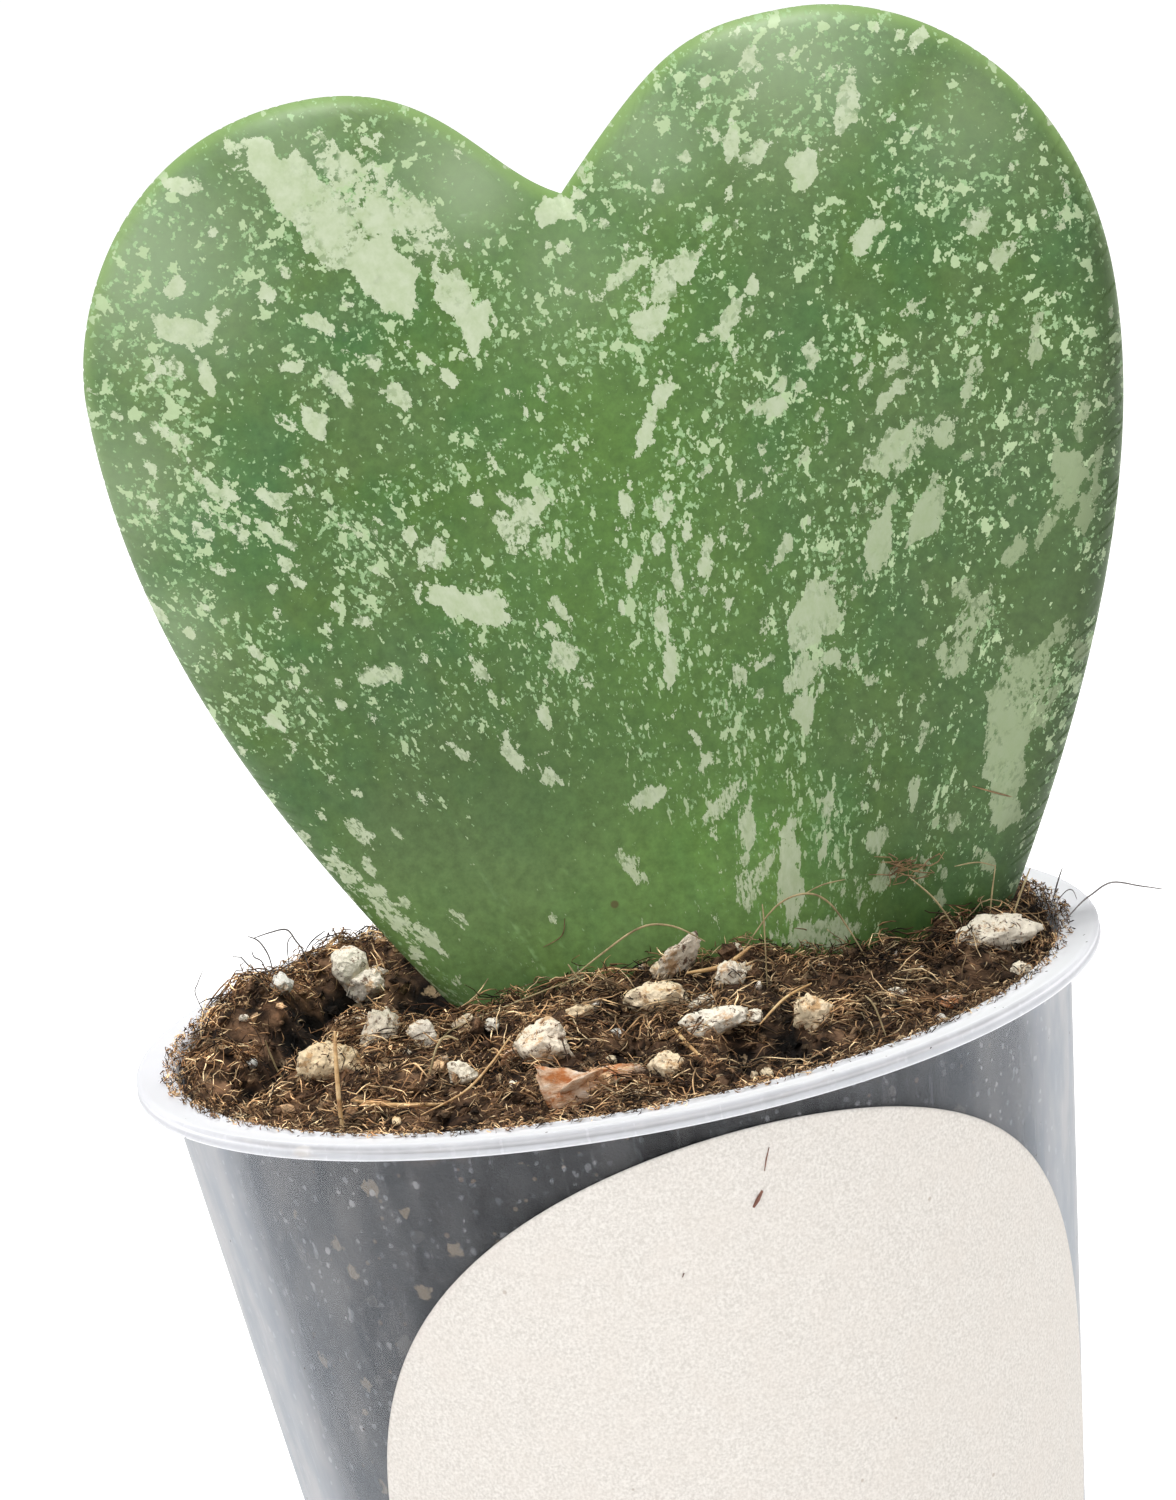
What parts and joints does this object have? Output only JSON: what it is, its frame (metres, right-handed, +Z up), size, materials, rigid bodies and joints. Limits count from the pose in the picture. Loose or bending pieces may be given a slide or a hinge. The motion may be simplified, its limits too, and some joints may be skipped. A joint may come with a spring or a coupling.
{
  "type": "potted hoya plant",
  "caption": "Heart-shaped hoya leaf rooted upright in potting mix in a small frosted see-through nursery pot, with a blank round sticker on the front.",
  "frame": {"origin": "middle of the underside of the pot, on the pot's axis", "axes": "+Z up along the pot's axis, -Y towards the front with the sticker and the leaf's face, +X to the right seen from the front"},
  "size_m": [0.0759, 0.068, 0.13],
  "materials": {
    "pot_plastic": "satin",
    "sticker_paper": "matte",
    "potting_mix": "matte",
    "leaf_skin": "satin"
  },
  "bodies": {
    "root": {"pot": "pot_plastic", "sticker": "sticker_paper", "soil": "potting_mix", "leaf": "leaf_skin"}
  },
  "joints": []
}
